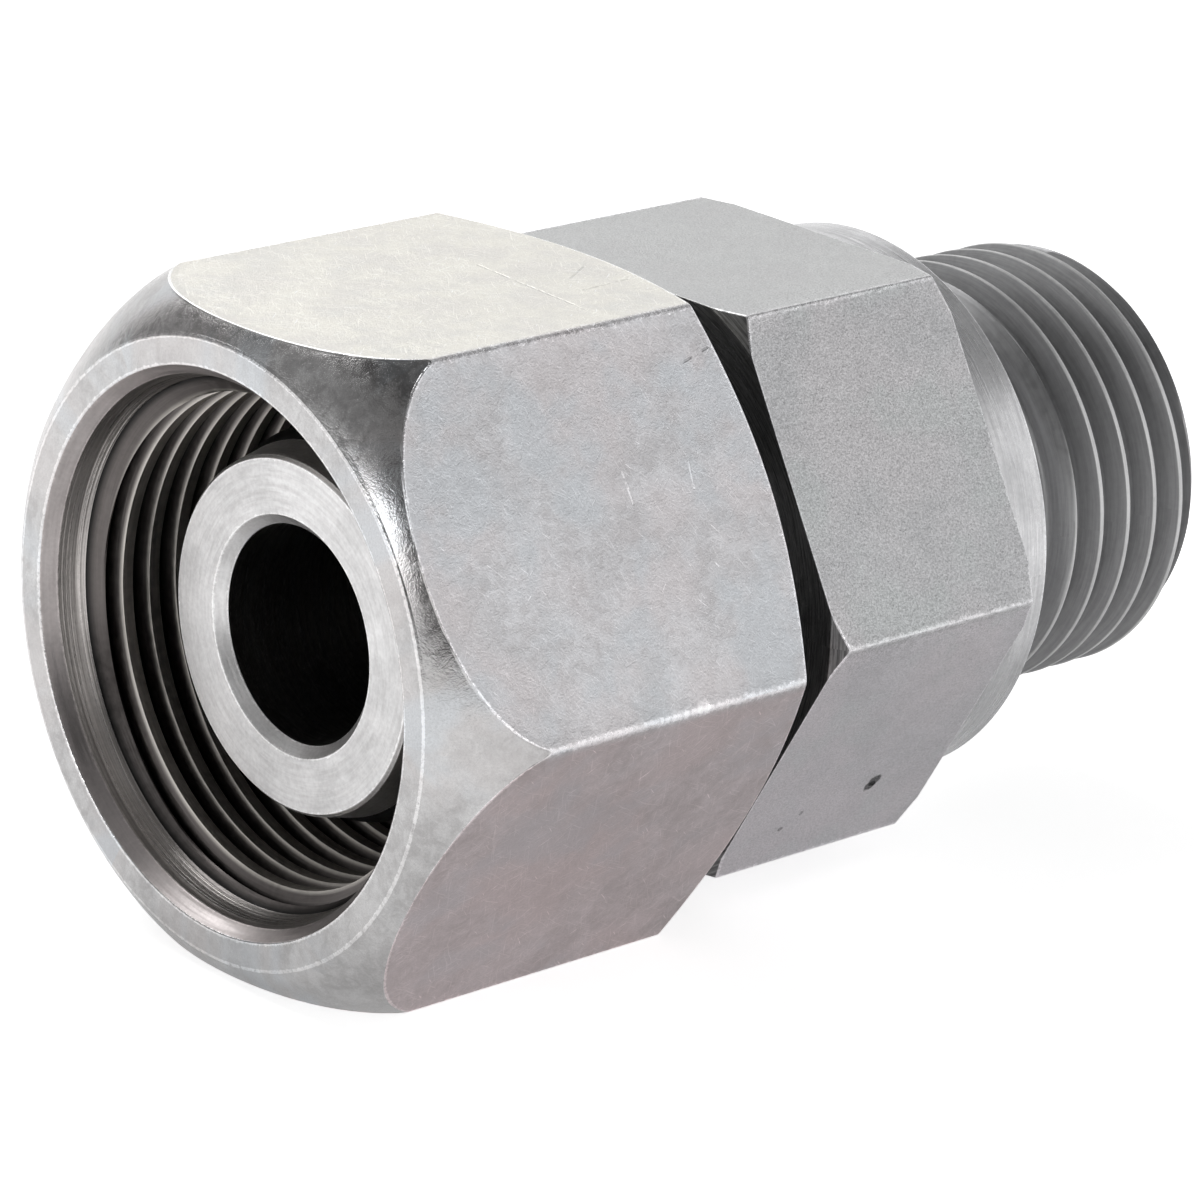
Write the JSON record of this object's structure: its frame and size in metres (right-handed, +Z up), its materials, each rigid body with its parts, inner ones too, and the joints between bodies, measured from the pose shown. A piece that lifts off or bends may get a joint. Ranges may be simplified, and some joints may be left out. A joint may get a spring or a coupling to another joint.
{
  "type": "tube end fitting",
  "caption": "Straight hydraulic tube fitting: hexagon body with a male threaded stud, and a swivel union nut over a sealed cone nipple.",
  "frame": {"origin": "on the common axis, in the plane of the collar's sealing face, where the stud begins", "axes": "+X along the axis towards the stud's end, the tube end points to -X, +Z up from the hexagon flat that it lies on"},
  "size_m": [0.0525, 0.0346, 0.03],
  "materials": {
    "plated_nut": "satin zinc plating, slightly yellow and blotched",
    "plated_body": "satin zinc plating, fine grained on the flats and turned on the collar and stud",
    "seal_rubber": "matte",
    "spring_wire": "bright drawn wire"
  },
  "bodies": {
    "stud_body": {"stud_body": "plated_body", "cone_oring": "seal_rubber"},
    "retaining_ring": {"retaining_ring": "spring_wire"},
    "swivel_nut": {"swivel_nut": "plated_nut"}
  },
  "joints": [
    {"name": "nut_swivel", "type": "hinge", "parent": "stud_body", "child": "retaining_ring", "pos_m": [-0.0235, 0, 0], "axis": [1, 0, 0], "continuous": true},
    {"name": "nut_slide", "type": "slide", "parent": "retaining_ring", "child": "swivel_nut", "axis": [1, 0, 0], "range_m": [-0.0008, 0.0019]}
  ]
}
